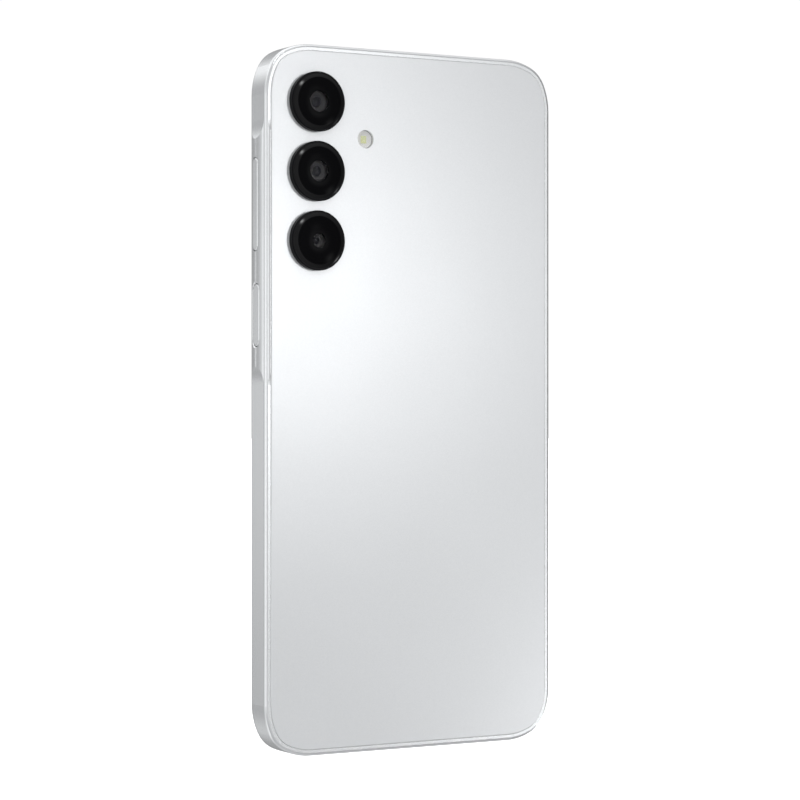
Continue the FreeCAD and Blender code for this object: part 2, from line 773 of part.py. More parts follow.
def make_boards(screws):
    board = "board_back - board_front"
    main_holes = [circle(x, z, "screw_hole_radius") for x, z in screws["main"]]
    lower_holes = [circle(x, z, "screw_hole_radius") for x, z in screws["lower"]]
    plate("mainboard", board, "board_front",
          polygon(corners("mainboard", ((-35.5, 114.5), (16.5, 114.5), (16.5, 161.0), (4.5, 161.0),
                                        (4.5, 153.5), (-4.5, 153.5), (-4.5, 161.0),
                                        (-28.5, 161.0), (-35.5, 154.0)))), main_holes)
    plate("sub_board", board, "board_front",
          polygon(corners("sub_board", ((-35.0, 10.2), (-28.2, 3.4), (-4.9, 3.4), (-4.9, 8.0),
                                        (4.9, 8.0), (4.9, 3.4), (7.0, 3.4), (7.0, 26.0),
                                        (-35.0, 26.0)))), lower_holes)
    plate("board_cover", "board_cover_back - board_cover_front", "board_cover_front",
          polygon(corners("board_cover", ((-34.6, 113.6), (16.4, 113.6), (16.4, 160.6),
                                          (-28.2, 160.6), (-34.6, 154.2)))),
          [circle(x, z, "screw_hole_radius") for x, z in screws["main"]])
    make_screws("board_screws", screws["main"], "board_cover_back", "(mid_plate_back + 0.05)")
    make_screws("sub_board_screws", screws["lower"], "board_back", "(mid_plate_back + 0.05)")
    for name, x, z, width, length in (("processor", -30.0, 122.0, 24.0, 28.0),
                                      ("radio", -2.0, 122.0, 12.4, 26.0)):
        can = block(f"{name}_can", width, 1.5, length, x, "board_back", z, keep=False)
        sheet_gap = "shield_sheet"
        hollow = block(f"{name}_hollow", f"{name}_can_width - 2*{sheet_gap}",
                       f"{name}_can_thickness - {sheet_gap}", f"{name}_can_length - 2*{sheet_gap}",
                       f"{name}_can_left + {sheet_gap}", "board_back",
                       f"{name}_can_bottom + {sheet_gap}", keep=False)
        cut(f"{name}_shield", can, [hollow])
    group("board_chips",
          [block("processor_chip", 14.0, 1.0, 14.0, -25.0, "board_back", 129.0, keep=False),
           block("radio_chip", 7.0, 0.9, 9.0, 0.7, "board_back", 130.0, keep=False)])
    plate("nfc_antenna", 0.15, "board_cover_back", rectangle("-9", "137", "34", "34", "3"),
          [rectangle("-9", "137", "29", "29", "1")])
    group("microphones",
          [block("lower_microphone", 3.6, 1.0, 2.8, "lower_microphone_x - 1.8", "board_back",
                 3.5, keep=False),
           block("upper_microphone", 3.6, 1.0, 2.8, "upper_microphone_x - 1.8", "board_back",
                 157.8, keep=False)])


# ------------------------------------------------------------ battery and flexes

def folded_flex(label, width, left, strip_back, z_low, z_high, foot):
    """A flex that runs along the back of the battery, with a foot on each board."""
    size = sized(label, width=width, left=left, back=strip_back, low=z_low, high=z_high, foot=foot)
    sheet_t = "flex_thickness"
    low, high, back = size["low"], size["high"], size["back"]
    strip = block(f"{label}_strip", size["width"], sheet_t, f"{high} - {low}", size["left"],
                  f"{back} - {sheet_t}", low, keep=False)
    parts = [strip]
    for end, leg_z, foot_z in (("low", low, f"{low} - {size['foot']}"),
                               ("high", f"{high} - {sheet_t}", f"{high} - {sheet_t}")):
        parts.append(block(f"{label}_{end}_leg", size["width"], f"{back} - board_back", sheet_t,
                           size["left"], "board_back", leg_z, keep=False))
        parts.append(block(f"{label}_{end}_foot", size["width"], sheet_t,
                           f"{size['foot']} + {sheet_t}", size["left"], "board_back", foot_z,
                           keep=False))
    for end, z in (("low", f"{low} - {size['foot']}"), ("high", f"{high} + {size['foot']} - 3")):
        parts.append(block(f"{label}_{end}_plug", f"{size['width']} + 1.4", 0.9, 2.9,
                           f"{size['left']} - 0.7", "board_back", z, keep=False))
    joined(label, parts)


def make_power():
    block("battery", 65.0, 4.55, 82.0, -34.3, -1.85, 30.0)
    block("battery_adhesive", 45.0, 0.1, 70.0, -24.3, "mid_plate_back", 36.0)
    tab = block("battery_tab", 8.0, "flex_thickness", 6.0, 2.0, "board_back", 112.0, keep=False)
    plug = block("battery_plug", 8.6, 0.9, 2.9, 1.7, "board_back", 115.3, keep=False)
    joined("battery_connector", [tab, plug])
    folded_flex("interconnect_flex", 8.0, -12.0, 2.93, 28.6, 112.9, 6.4)
    leg = block("display_flex_leg", 12.0, "board_back + flex_thickness - mid_plate_front",
                "flex_thickness", -26.0, "mid_plate_front", "display_flex_z", keep=False)
    foot = block("display_flex_foot", 12.0, "flex_thickness", 6.8, -26.0, "board_back",
                 "display_flex_z + flex_thickness - display_flex_foot_length", keep=False)
    plug = block("display_flex_plug", 13.0, 0.9, 2.9, -26.5, "board_back", 21.0, keep=False)
    joined("display_flex", [leg, foot, plug])
    run = rod("coax_run", 0.35, 99.7, -35.3, 1.0, 24.3, axis="Z", keep=False)
    ends = [rod(f"coax_{name}_plug", 1.05, 1.0, -34.3, "board_back", z, keep=False)
            for name, z in (("lower", 24.6), ("upper", 123.8))]
    joined("antenna_coax", [run, *ends])


# --------------------------------------------------------- port, sound, vibration

def make_port():
    shell = new_body("usb_shell")
    sketch = new_sketch(shell, "XY", "usb_mouth_z")
    add_slot(sketch, "0", "0", "usb_width", "usb_height/2", "x")
    pad(shell, sketch, "usb_depth")
    sketch = new_sketch(shell, "XY", "usb_mouth_z - 1")
    add_slot(sketch, "0", "0", "usb_width - 2*usb_sheet", "usb_height/2 - usb_sheet", "x")
    pocket(shell, sketch, "1 + usb_depth - 2*usb_sheet", reverse=True)
    block("usb_tongue", 6.69, 0.7, 5.4, "-usb_tongue_width/2", "-usb_tongue_thickness/2",
          "usb_mouth_z + usb_depth - 2*usb_sheet - usb_tongue_length")


def make_speaker():
    """Loudspeaker box, open towards the mid plate, with a duct to the bottom slots."""
    solid = plate("speaker_solid", 4.8, -1.9,
                  polygon(corners("speaker_box", ((9.2, 3.6), (30.0, 3.6), (34.5, 8.1),
                                                  (34.5, 27.0), (9.2, 27.0)))))
    del pieces["speaker_solid"]
    chamber = block("speaker_chamber", 17.4, 4.2, 11.4, 12.9, -1.9, 12.4, keep=False)
    duct = block("speaker_duct", 17.6, 1.8, 9.0, 10.9, -0.9, 3.5, keep=False)
    cut("speaker_box", solid, [chamber, duct])
    centre_x = "(speaker_chamber_left + speaker_chamber_width/2)"
    centre_z = "(speaker_chamber_bottom + speaker_chamber_length/2)"
    back = "(speaker_chamber_front + speaker_chamber_thickness)"
    block("speaker_magnet", 11.6, 2.2, 5.6, f"{centre_x} - speaker_magnet_width/2",
          f"{back} - speaker_magnet_thickness", f"{centre_z} - speaker_magnet_length/2")
    cone(("speaker", centre_x, centre_z), 14.6, 8.4, -1.35, 1.75, "speaker_magnet_width + 0.4",
         "speaker_magnet_length + 0.4")
    plate("speaker_surround", 0.1, -1.32,
          rectangle(centre_x, centre_z, "speaker_chamber_width - 0.1",
                    "speaker_chamber_length - 0.1", "0.8"),
          [rectangle(centre_x, centre_z, "speaker_cone_width + 0.12",
                     "speaker_cone_length + 0.12", "0.1")])
    block("speaker_mesh", 17.8, 1.6, 0.3, 10.6, -0.8, 3.15)


def cone(place_of, width, length, front, coil_depth, coil_width, coil_length):
    """A driver's diaphragm with the voice coil standing on its back."""
    name, x, z = place_of
    disc = block(f"{name}_cone", width, 0.15, length, f"{x} - {name}_cone_width/2", front,
                 f"{z} - {name}_cone_length/2", keep=False)
    store(f"{name}_coil_wall", 0.3)
    outside = block(f"{name}_coil", f"{coil_width} + 2*{name}_coil_wall", coil_depth,
                    f"{coil_length} + 2*{name}_coil_wall",
                    f"{x} - ({coil_width})/2 - {name}_coil_wall", front,
                    f"{z} - ({coil_length})/2 - {name}_coil_wall", keep=False)
    inside = block(f"{name}_coil_bore", coil_width, f"{name}_coil_thickness - 0.15", coil_length,
                   f"{x} - ({coil_width})/2", f"{name}_coil_front + 0.15",
                   f"{z} - ({coil_length})/2", keep=False)
    coil = cut(f"{name}_voice_coil", outside, [inside], keep=False)
    joined(f"{name}_diaphragm", [disc, coil])


def make_earpiece():
    outside = block("earpiece_case", 11.0, 1.6, 5.4, -19.0, -1.93, 154.6, keep=False)
    inside = block("earpiece_bore", 10.0, 1.35, 4.4, -18.5, -1.93, 155.1, keep=False)
    magnet = block("earpiece_magnet", 4.8, 0.7, 1.4, -15.9, -1.2, 156.6, keep=False)
    cup = cut("earpiece_cup", outside, [inside], keep=False)
    joined("earpiece_housing", [cup, magnet])
    cone(("earpiece", "-13.5", "157.3"), 9.6, 4.0, -1.7, 0.75, "5.2", "1.8")


def make_motor():
    """Coin vibration motor on the sub-board: a cup with its shaft, and an eccentric."""
    case = rod("motor_outside", 4.0, 2.6, -27.0, "board_back", 16.0, keep=False)
    hollow = rod("motor_hollow", 3.75, "motor_outside_length - 0.25", "motor_outside_x",
                 "board_back", "motor_outside_z", keep=False)
    shaft = rod("motor_shaft", 0.4, "motor_outside_length - 0.1", "motor_outside_x", "board_back",
                "motor_outside_z", keep=False)
    cup = cut("motor_cup", case, [hollow], keep=False)
    joined("motor_case", [cup, shaft])
    disc = rod("rotor_disc", 3.4, 1.5, "motor_outside_x", "board_back + 0.4", "motor_outside_z",
               keep=False)
    hub = rod("rotor_hub", 1.0, "rotor_disc_length", "motor_outside_x", "board_back + 0.4",
              "motor_outside_z", keep=False)
    half = block("rotor_cut", "2*rotor_disc_radius + 1", "rotor_disc_length + 1",
                 "rotor_disc_radius + 1", "motor_outside_x - rotor_disc_radius - 0.5",
                 "board_back", "motor_outside_z", keep=False)
    bore = rod("rotor_bore", "motor_shaft_radius + 0.05", "rotor_disc_length + 1",
               "motor_outside_x", "board_back", "motor_outside_z", keep=False)
    weight = cut("rotor_weight", disc, [half], keep=False)
    cut("motor_rotor", joined("rotor_solid", [weight, hub], keep=False), [bore])


# ------------------------------------------------------------------------- keys

def key(label, centre, length, radius, face):
    """A side key: cap through the wall, flange behind it and plungers for its domes."""
    body = new_body(label)
    sketch = new_sketch(body, "YZ", "key_inner_x - key_flange_gap")
    add_slot(sketch, "0", centre, length, radius)
    pad(body, sketch, f"{face} - key_inner_x + key_flange_gap")
    front = number(face)
    dress(body, "Fillet", "key_edge",
          lambda edge: abs(edge.BoundBox.XMin - front) < 0.01 and is_straight(edge))
    sketch = new_sketch(body, "YZ", "key_inner_x - key_flange_gap")
    add_slot(sketch, "0", centre, f"{length} + 2*key_flange_width", f"{radius} + key_flange_width")
    pad(body, sketch, "key_flange_thickness", reverse=True)
    return body


def plungers(body, places, radius):
    """Pins on the back of a key's flange."""
    sketch = new_sketch(body, "YZ", "key_inner_x - key_flange_gap - key_flange_thickness")
    for place_z in places:
        add_circle(sketch, "0", place_z, radius)
    pad(body, sketch, "plunger_length", reverse=True)


def domes(label, places):
    """Metal snap domes on the key flex, one under each plunger."""
    tops = []
    for i, place_z in enumerate(places, 1):
        base = rod(f"{label}_{i}", "dome_radius", "dome_height", "key_flex_x", "0", place_z,
                   axis="X", keep=False)
        tops.append(base)
    if len(tops) > 1:
        return group(label, tops)
    return named(label, tops[0])


def make_keys():
    rocker = key("volume_rocker", "volume_key_z", "volume_key_length", "volume_key_radius",
                 "volume_key_face_x")
    presses = ("volume_key_z - volume_plunger_reach", "volume_key_z + volume_plunger_reach")
    plungers(rocker, presses, "plunger_radius")
    power = key("power_key", "power_key_z", "power_key_length", "power_key_radius",
                "power_key_face_x")
    plungers(power, ("power_key_z",), "plunger_radius")
    sketch = new_sketch(power, "YZ", "power_key_face_x + 1")
    add_slot(sketch, "0", "power_key_z", "power_key_length - 2*sensor_margin",
             "power_key_radius - sensor_margin")
    pocket(power, sketch, "1 + sensor_thickness")
    sensor = new_body("fingerprint_sensor")
    sketch = new_sketch(sensor, "YZ", "power_key_face_x - sensor_thickness")
    add_slot(sketch, "0", "power_key_z", "power_key_length - 2*sensor_margin - 0.04",
             "power_key_radius - sensor_margin - 0.02")
    pad(sensor, sketch, "sensor_thickness - 0.01")
    block("key_flex", 0.5, 3.2, 47.0, "key_flex_x - key_flex_width", -1.6, 92.5)
    domes("volume_domes", presses)
    domes("power_dome", ("power_key_z",))


# -------------------------------------------------------------------- card tray

def make_card_tray():
    tray = new_body("card_tray")
    sketch = new_sketch(tray, "YZ", "-body_width/2")
    add_slot(sketch, "tray_level", "tray_z", "tray_cap_length", "tray_cap_radius")
    pad(tray, sketch, "tray_cap_depth")
    plate_z = "(tray_plate_bottom + tray_plate_width/2)"
    sketch = new_sketch(tray, "YZ", "tray_cap_depth - body_width/2")
    add_rounded_rectangle(sketch, "tray_level", plate_z, "tray_plate_thickness",
                          "tray_plate_width", "0.2")
    pad(tray, sketch, "tray_inner_x - tray_cap_depth + body_width/2")
    sketch = new_sketch(tray, "XZ", "body_thickness")
    add_rounded_rectangle(sketch, "-31.6", plate_z, "8.8", "10.4", "0.6")
    add_rounded_rectangle(sketch, "-20.2", plate_z, "12", "10.4", "0.6")
    pocket(tray, sketch, "2*body_thickness")
    sketch = new_sketch(tray, "YZ", "-(body_width/2 + 1)")
    add_circle(sketch, "tray_level", "eject_hole_z", "eject_hole_radius")
    pocket(tray, sketch, "1 + 2*tray_cap_depth", reverse=True)

    ring = block("tray_seal_outside", 0.5, "tray_plate_thickness + 0.2", "tray_plate_width + 0.2",
                 -37.3, "tray_level - tray_plate_thickness/2 - 0.1",
                 "tray_plate_bottom - 0.1", keep=False)
    hole = block("tray_seal_inside", 0.5, "tray_plate_thickness", "tray_plate_width", -37.3,
                 "tray_level - tray_plate_thickness/2", "tray_plate_bottom", keep=False)
    cut("tray_seal", ring, [hole])


def make_card_reader():
    """Sheet cage on the mainboard's front, with the eject rod and its lever."""
    cage = block("reader_cage", 28.6, "board_front - mid_plate_back - 0.02", 17.4, -35.8,
                 "mid_plate_back + 0.02", 130.9, keep=False)
    room = block("reader_room", 28.1, 1.3, 16.4, -35.9, "tray_level - reader_room_thickness/2",
                 131.35, keep=False)
    pin = rod("lever_pin", 0.4, "reader_room_thickness", "lever_x",
              "tray_level - reader_room_thickness/2", "lever_z", keep=False)
    joined("card_reader", [cut("reader_shell", cage, [room], keep=False), pin])
    rod("eject_rod", 0.4, "lever_x - 0.65 + 37.3", -37.3, "tray_level", "eject_hole_z", axis="X")
    bar = block("lever_bar", 1.0, 0.6, 11.8, "lever_x - lever_bar_width/2",
                "tray_level - lever_bar_thickness/2", "lever_z - 5.95", keep=False)
    bore = rod("lever_bore", "lever_pin_radius + 0.05", 2.0, "lever_x", "tray_level - 1",
               "lever_z", keep=False)
    cut("eject_lever", bar, [bore])


def make_all():
    make_covers()
    make_camera_rings()
    screws = screw_cells()
    make_cameras()
    make_mid_plate(screws)
    make_boards(screws)
    make_power()
    make_port()
    make_speaker()
    make_earpiece()
    make_motor()
    make_keys()
    make_card_tray()
    make_card_reader()


make_all()
document.recompute()
for item in document.Objects:
    if "Invalid" in item.State or "Error" in item.State:
        raise RuntimeError(f"{item.Label} failed: {item.State}")
os.makedirs("parts", exist_ok=True)
for label, piece in pieces.items():
    shape = piece.Shape
    if shape.isNull() or not shape.isValid():
        raise RuntimeError(f"{label} has no valid shape")
    shape.exportStep(f"parts/{label}.step")
    box = shape.BoundBox
    print(f"{label:22s} {shape.Volume:10.2f} mm3, {len(shape.Solids)} solid(s)")
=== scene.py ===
"""The smartphone's looks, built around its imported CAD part: studio, finishes and detail pieces."""

import math

import bmesh
import bpy
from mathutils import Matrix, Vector


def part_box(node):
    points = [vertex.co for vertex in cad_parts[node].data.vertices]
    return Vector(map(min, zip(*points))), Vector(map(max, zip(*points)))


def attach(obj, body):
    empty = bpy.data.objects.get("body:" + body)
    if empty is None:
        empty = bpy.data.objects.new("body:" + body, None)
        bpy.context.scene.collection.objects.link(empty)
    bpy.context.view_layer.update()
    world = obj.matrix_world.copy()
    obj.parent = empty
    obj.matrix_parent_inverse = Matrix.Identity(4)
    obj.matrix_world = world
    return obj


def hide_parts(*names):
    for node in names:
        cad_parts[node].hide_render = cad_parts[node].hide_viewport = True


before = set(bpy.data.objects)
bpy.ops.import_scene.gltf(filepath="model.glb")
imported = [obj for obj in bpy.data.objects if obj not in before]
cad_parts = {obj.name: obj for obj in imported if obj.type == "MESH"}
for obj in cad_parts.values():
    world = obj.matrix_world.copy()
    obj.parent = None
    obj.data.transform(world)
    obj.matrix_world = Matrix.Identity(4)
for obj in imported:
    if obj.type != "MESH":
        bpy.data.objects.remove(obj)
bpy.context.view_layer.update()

MM = 0.001

# Display border, as seen through the front glass
BORDER_SIDE = 2.2 * MM
BORDER_TOP = 2.8 * MM
BORDER_CHIN = 4.6 * MM
PICTURE_CORNER = 9.5 * MM

# Bevel round each camera glass, in mm
GLASS_BEVEL_WIDTH = 0.79
GLASS_BEVEL_DROP = 0.34
GLASS_BEVEL_BOW = 0.012

# Front camera, painted behind the display glass: where each soft edge starts and ends, in mm
EYE_HOLE = (2.15, 2.2)
EYE_RIM = ((1.55, 1.6), (1.4, 1.45))
EYE_LENS = ((1.0, 1.25), (0.2, 0.55))

# Levels of the pieces under each camera's window, as Y in mm
STACK_FLOOR = 4.02
STACK_STOP = 4.14
STACK_RIM = 4.38
ELEMENT_EDGE = 4.1
ELEMENT_TOP = 4.33
ELEMENT_SHARE = 0.52  # of the baffle's radius

# Flash: the reflector cup from its wall inwards as (radius, Y), and the die, in mm
CUP_OUTLINE = ((2.04, 3.13), (1.98, 3.13), (1.45, 2.82), (1.3, 2.78), (0, 2.78))
DIE_SIZE = (1.45, 0.2, 1.75)
DIE_LEVEL = 2.89

# Port contacts, in mm
CONTACT_COUNT = 12
CONTACT_PITCH = 0.5
CONTACT_SIZE = (0.25, 0.03, 3.4)
CONTACT_START = 2.1

# Turned lines on the camera bezels, in mm
TURNED_PITCH = 0.03
TURNED_DEPTH = 0.00004

# ---------------------------------------------------------------- studio
CAMERA_PLACE = Vector((0.3099, 0.52845, 0.0822))
CAMERA_TURN = 149.70  # degrees about the upright axis
CAMERA_LENS = 116.14  # mm, on a 36 mm sensor

BACKDROP_RADIUS = 5.0
BACKDROP_COLOUR = (1.0, 1.0, 1.0)
BACKDROP_GLOW = 1.02
FLOOR_RADIUS = 4.9
FLOOR_COLOUR = (0.93, 0.93, 0.935)
FLOOR_GLOW = 0.9
ROOM_TINT = (0.985, 0.992, 1.0)
SOFTBOX_AIM = Vector((0, 0, 0.082))

# Soft glows round the room that the glossy surfaces mirror: direction, tightness, strength.
AMBIENT = 0.15
GLOWS = (
    # the back cover's highlights
    ((-0.442, 0.896, 0.035), 600, 2.85),
    ((-0.440, 0.892, 0.105), 600, 1.30),
    ((-0.434, 0.880, 0.191), 600, 1.51),
    ((-0.504, 0.863, 0.035), 600, 1.23),
    ((-0.535, 0.786, -0.309), 600, 0.13),
    ((-0.613, 0.778, -0.139), 600, 4.78),
    ((-0.606, 0.768, -0.208), 600, 1.29),
    # the key side and its rounded edges
    ((0.978, -0.208, 0.000), 80, 0.17),
    ((1.000, 0.000, 0.000), 80, 0.57),
    ((0.914, 0.407, 0.000), 80, 0.95),
    ((0.809, 0.588, 0.000), 80, 0.10),
    ((0.643, 0.766, 0.000), 80, 1.41),
    # the lens bevels and corners
    ((0.410, -0.709, -0.574), 30, 0.90),
    ((0.410, -0.709, 0.574), 30, 1.22),
    ((0.709, -0.410, -0.574), 30, 0.33),
    ((0.709, -0.410, 0.574), 30, 0.23),
    ((0.819, 0.000, -0.574), 30, 0.71),
    ((0.819, 0.000, 0.574), 30, 0.80),
    ((0.709, 0.410, 0.574), 30, 0.28),
    # the flat of the key side
    ((0.503, -0.861, -0.070), 500, 0.42),
    ((0.504, -0.863, 0.017), 500, 0.77),
    ((0.502, -0.859, 0.105), 500, 0.13),
    # the room as a whole
    ((0.000, 0.000, 1.000), 3, 1.34),
    ((0.000, 0.000, -1.000), 3, 0.56),
    ((0.000, -1.000, 0.000), 3, 0.22),
    ((0.000, 1.000, 0.000), 3, 0.57),
    ((1.000, 0.000, 0.000), 3, 0.59),
    ((-0.500, 0.000, -0.860), 30, 0.25),
    # small lamps, seen in the lens bevels
    ((0.270, -0.860, 0.420), 120, 0.48),
    ((0.090, 0.790, 0.595), 400, 12.0),
    ((-0.893, 0.217, -0.388), 250, 22.0),
)

# Softboxes that light the matt part of each finish: place, size and power.
SOFTBOXES = (
    ((-0.60, 0.85, 0.95), 0.50, 2.0),
    ((-0.80, -0.90, 0.70), 0.90, 2.0),
)


def link(obj):
    bpy.context.scene.collection.objects.link(obj)
    return obj


class Tree:
    """Lays out the nodes of one material or world."""

    def __init__(self, owner):
        owner.use_nodes = True
        self.tree = owner.node_tree
        self.tree.nodes.clear()

    def add(self, kind, inputs=None, **settings):
        """A new node. Each input is a value, or the socket that feeds it."""
        made = self.tree.nodes.new("ShaderNode" + kind)
        for key, value in settings.items():
            setattr(made, key, value)
        for key, value in (inputs or {}).items():
            if isinstance(value, bpy.types.NodeSocket):
                self.tree.links.new(value, made.inputs[key])
            else:
                made.inputs[key].default_value = value
        return made

    def math(self, operation, *values):
        return self.add("Math", dict(enumerate(values)), operation=operation).outputs[0]

    def spread(self, value, low, high, start=0.0, end=1.0):
        """value, which runs from start to end, brought to run from low to high."""
        return self.add("MapRange", {"Value": value, "From Min": start, "From Max": end,
                                     "To Min": low, "To Max": high}).outputs["Result"]


def make_camera():
    data = bpy.data.cameras.new("camera")
    data.lens = CAMERA_LENS
    data.sensor_width = 36.0
    camera = link(bpy.data.objects.new("camera", data))
    camera.location = CAMERA_PLACE
    camera.rotation_euler = (math.radians(90), 0, math.radians(CAMERA_TURN))
    bpy.context.scene.camera = camera


def make_world():
    world = bpy.data.worlds.new("studio")
    bpy.context.scene.world = world
    tree = Tree(world)
    towards = tree.add("TexCoord").outputs["Generated"]
    total = AMBIENT
    for direction, tightness, strength in GLOWS:
        facing = tree.add("VectorMath", {0: towards, 1: Vector(direction).normalized()},
                          operation="DOT_PRODUCT").outputs["Value"]
        glow = tree.math("POWER", tree.math("MAXIMUM", facing, 0.0), tightness)
        total = tree.math("ADD", tree.math("MULTIPLY", glow, strength), total)
    shade = tree.add("Background", {"Color": (*ROOM_TINT, 1.0), "Strength": total})
    tree.add("OutputWorld", {"Surface": shade.outputs["Background"]})


def make_softboxes():
    for number, (place, size, power) in enumerate(SOFTBOXES):
        data = bpy.data.lights.new(f"softbox_{number}", "AREA")
        data.shape = "SQUARE"
        data.size = size
        data.energy = power
        light = link(bpy.data.objects.new(f"softbox_{number}", data))
        light.location = place
        light.rotation_mode = "QUATERNION"
        light.rotation_quaternion = (Vector(place) - SOFTBOX_AIM).to_track_quat("Z", "Y")
        light.visible_camera = False
        light.visible_glossy = False


def glowing(name, colour, strength):
    material = bpy.data.materials.new(name)
    tree = Tree(material)
    shade = tree.add("Emission", {"Color": (*colour, 1.0), "Strength": strength})
    tree.add("OutputMaterial", {"Surface": shade.outputs[0]})
    return material


def make_room():
    """A pale floor disc and a white shell round it, which light nothing themselves."""
    mesh = bpy.data.meshes.new("backdrop")
    shell = bmesh.new()
    bmesh.ops.create_uvsphere(shell, u_segments=64, v_segments=32, radius=BACKDROP_RADIUS)
    bmesh.ops.reverse_faces(shell, faces=shell.faces)
    shell.to_mesh(mesh)
    shell.free()
    mesh.materials.append(glowing("backdrop", BACKDROP_COLOUR, BACKDROP_GLOW))
    backdrop = link(bpy.data.objects.new("backdrop", mesh))
    mesh = bpy.data.meshes.new("floor")
    disc = bmesh.new()
    bmesh.ops.create_circle(disc, cap_ends=True, segments=96, radius=FLOOR_RADIUS)
    disc.to_mesh(mesh)
    disc.free()
    material = bpy.data.materials.new("floor")
    tree = Tree(material)
    shade = tree.add("BsdfPrincipled", {"Base Color": (*FLOOR_COLOUR, 1.0), "Roughness": 0.8,
                                        "Emission Color": (1, 1, 1, 1),
                                        "Emission Strength": FLOOR_GLOW})
    tree.add("OutputMaterial", {"Surface": shade.outputs[0]})
    mesh.materials.append(material)
    floor = link(bpy.data.objects.new("floor", mesh))
    for thing in (backdrop, floor):
        thing.visible_glossy = False
        thing.visible_diffuse = False
        thing.visible_transmission = False
        thing.visible_shadow = False


# ---------------------------------------------------------------- finishes
def start_material(name):
    material = bpy.data.materials.new(name)
    tree = Tree(material)
    shader = tree.add("BsdfPrincipled")
    tree.add("OutputMaterial", {"Surface": shader.outputs["BSDF"]})
    return material, tree, shader


def fill(tree, shader, **values):
    """Sets or links the shader's inputs, named with _ for a space."""
    for key, value in values.items():
        socket = shader.inputs[key.replace("_", " ")]
        if isinstance(value, bpy.types.NodeSocket):
            tree.tree.links.new(value, socket)
        else:
            socket.default_value = value


def noise(tree, scale, detail=3.0, roughness=0.5, stretch=(1, 1, 1)):
    place = tree.add("TexCoord").outputs["Object"]
    if stretch != (1, 1, 1):
        place = tree.add("Mapping", {"Vector": place, "Scale": stretch}).outputs["Vector"]
    return tree.add("TexNoise", {"Vector": place, "Scale": scale, "Detail": detail,
                                 "Roughness": roughness}).outputs["Fac"]


def bump(tree, height, depth, strength=1.0):
    return tree.add("Bump", {"Height": height, "Distance": depth,
                             "Strength": strength}).outputs["Normal"]


def tones(tree, share, one, other):
    mixed = tree.add("Mix", {"Factor": share}, data_type="RGBA")
    mixed.inputs[6].default_value = (*one, 1.0)
    mixed.inputs[7].default_value = (*other, 1.0)
    return mixed.outputs[2]


def plain_finish(name, colour, metallic, roughness, grain=4000, depth=0.004, vary=0.06):
    """A moulded, stamped or printed finish: fine grain, and tone and gloss that drift a little."""
    material, tree, shader = start_material(name)
    drift = noise(tree, 90)
    fine = noise(tree, grain, 2.0)
    dark = tuple(c * (1 - vary) for c in colour)
    light = tuple(min(1.0, c * (1 + vary)) for c in colour)
    fill(tree, shader, Base_Color=tones(tree, drift, dark, light), Metallic=metallic,
         Roughness=tree.spread(fine, roughness * 0.85, min(1.0, roughness * 1.15), 0.3, 0.7),
         Normal=bump(tree, fine, depth * MM))
    return material


def cover_finish():
    material, tree, shader = start_material("cover")
    flake = tree.add("TexVoronoi", {"Vector": tree.add("TexCoord").outputs["Object"],
                                    "Scale": 9000.0}).outputs["Color"]
    flake = tree.add("SeparateColor", {"Color": flake}).outputs[0]
    drift = noise(tree, 40)
    colour = tones(tree, flake, (0.745, 0.757, 0.77), (0.805, 0.815, 0.825))
    fill(tree, shader, Base_Color=colour, Metallic=0.32,
         Roughness=tree.spread(drift, 0.165, 0.185, 0.3, 0.7))
    return material


def frame_finish(name="frame", colour=(0.80, 0.81, 0.82)):
    material, tree, shader = start_material(name)
    drift = noise(tree, 60)
    fine = noise(tree, 6000, 2.0)
    dark = tuple(c * 0.97 for c in colour)
    light = tuple(min(1.0, c * 1.03) for c in colour)
    fill(tree, shader, Base_Color=tones(tree, drift, dark, light), Metallic=0.85,
         Roughness=tree.spread(fine, 0.20, 0.24, 0.3, 0.7))
    return material


def polish(name, colour, level, roughness=0.03):
    """A polished dark glass with a faint drift of gloss, as from handling."""
    material, tree, shader = start_material(name)
    drift = noise(tree, 150)
    fill(tree, shader, Base_Color=tones(tree, drift, colour, tuple(c * 1.3 for c in colour)),
         Metallic=0.0, Roughness=tree.spread(drift, roughness, roughness * 1.6, 0.3, 0.7),
         Specular_IOR_Level=level)
    return material


def clear_glass(name, share, tint):
    """A thin clear window. share: how much of the light stops at the glass itself."""
    material, tree, shader = start_material(name)
    drift = noise(tree, 150)
    fill(tree, shader, Base_Color=tones(tree, drift, tint, tuple(c * 0.9 for c in tint)),
         Alpha=share, Roughness=tree.spread(drift, 0.03, 0.05, 0.3, 0.7))
    return material


def across(tree, centre_x, centre_z, pitch=0.0):
    """Distance in metres from an axis along Y; with a pitch, from the nearest of a row up Z."""
    place = tree.add("SeparateXYZ", {"Vector": tree.add("TexCoord").outputs["Object"]}).outputs
    side = tree.math("SUBTRACT", place["X"], centre_x)
    rise = tree.math("SUBTRACT", place["Z"], centre_z)
    if pitch:
        rise = tree.math("WRAP", rise, pitch / 2, -pitch / 2)
    return tree.math("SQRT", tree.math("ADD", tree.math("MULTIPLY", side, side),
                                       tree.math("MULTIPLY", rise, rise)))


def ring_finish():
    """Gloss black on a turned bezel: hair-fine rings about each camera's axis."""
    material, tree, shader = start_material("ring")
    low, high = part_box("camera_ring_lower")
    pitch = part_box("camera_ring_middle")[0].z - low.z
    away = across(tree, (low.x + high.x) / 2, (low.z + high.z) / 2, pitch)
    turned = tree.math("SINE", tree.math("MULTIPLY", away, 2 * math.pi / (TURNED_PITCH * MM)))
    fine = noise(tree, 5000, 2.0)
    fill(tree, shader, Base_Color=tones(tree, fine, (0.003, 0.003, 0.0035), (0.006, 0.006, 0.007)),
         Roughness=tree.spread(fine, 0.10, 0.15, 0.3, 0.7), Specular_IOR_Level=0.05,
         Normal=bump(tree, turned, TURNED_DEPTH * MM))
    return material


